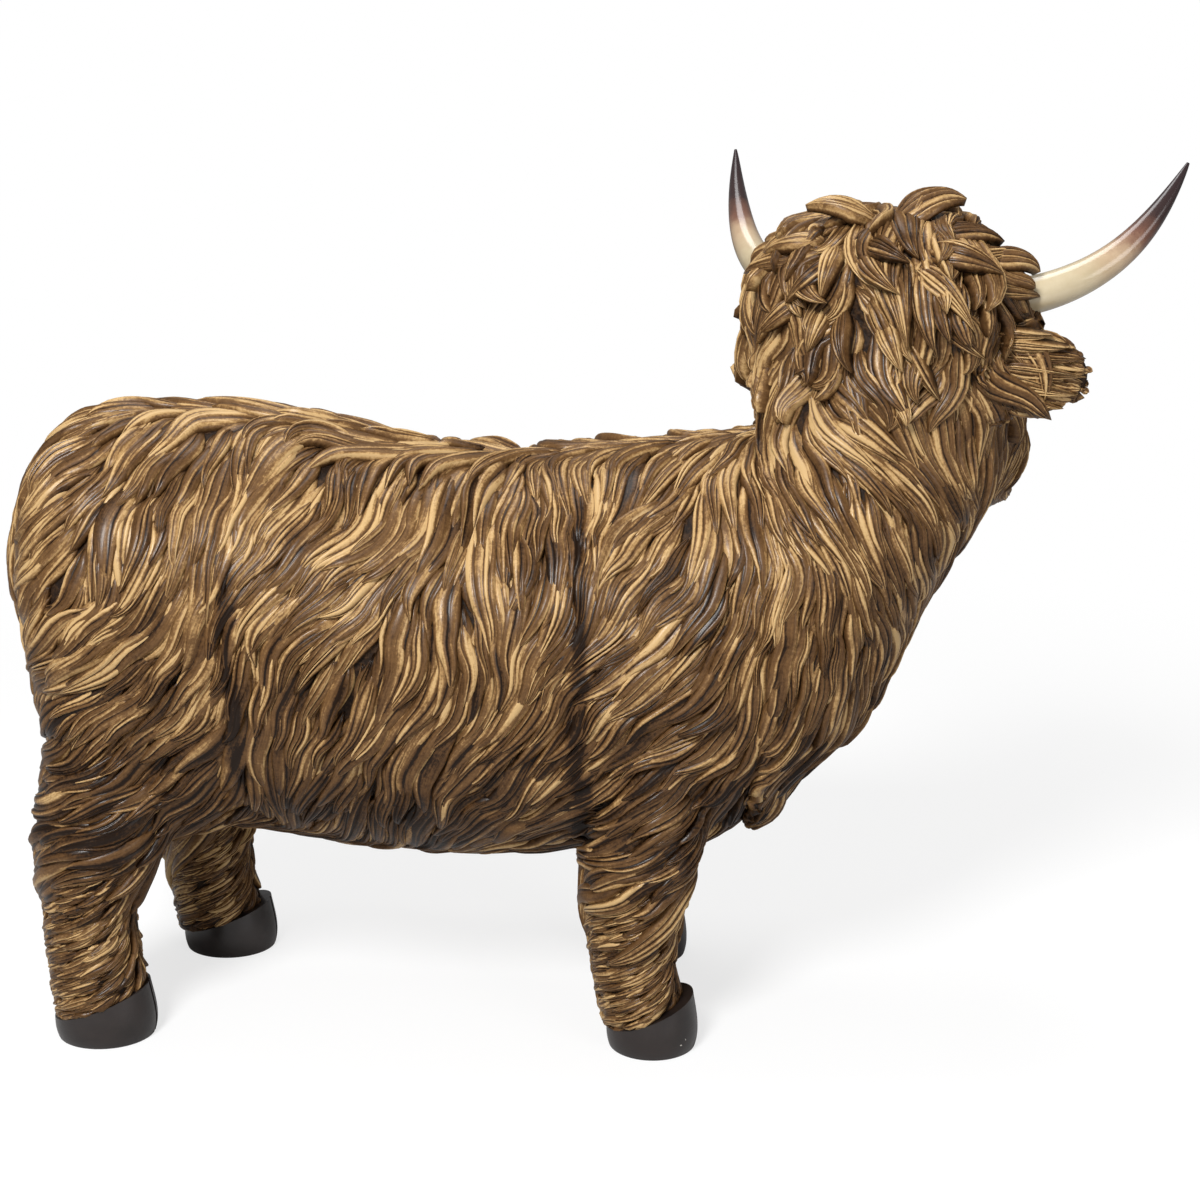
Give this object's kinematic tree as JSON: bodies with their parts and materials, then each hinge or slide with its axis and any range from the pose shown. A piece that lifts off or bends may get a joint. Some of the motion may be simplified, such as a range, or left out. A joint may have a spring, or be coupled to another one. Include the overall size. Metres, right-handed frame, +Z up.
{
  "type": "standing cow figurine",
  "caption": "Long-haired horned cow figurine standing on flat hooves with its head turned to its left, for a shelf or a garden.",
  "frame": {"origin": "on the floor under the middle of the object's box", "axes": "+X the way the body faces, +Y the animal's left side, +Z up"},
  "size_m": [0.4448, 0.1564, 0.3333],
  "materials": {
    "coat": "painted resin, dry-brushed tan over brown, satin lacquer",
    "hoof": "painted resin, satin charcoal brown",
    "horn": "painted resin, glossy cream with dark tips",
    "rod_steel": "plain drawn steel",
    "plug": "moulded, matte"
  },
  "bodies": {
    "root": {"hindquarter_shell": "coat", "barrel_shell": "coat", "forequarter_shell": "coat", "head_neck_shell": "coat", "right_ear": "coat", "left_ear": "coat", "tail": "coat", "rear_right_leg": "coat", "rear_left_leg": "coat", "front_right_leg": "coat", "front_left_leg": "coat", "rear_right_hoof": "hoof", "rear_left_hoof": "hoof", "front_right_hoof": "hoof", "front_left_hoof": "hoof", "right_horn": "horn", "left_horn": "horn", "rear_right_rod": "rod_steel", "rear_left_rod": "rod_steel", "front_right_rod": "rod_steel", "front_left_rod": "rod_steel", "right_horn_pin": "rod_steel", "left_horn_pin": "rod_steel", "belly_plug": "plug"}
  },
  "joints": []
}
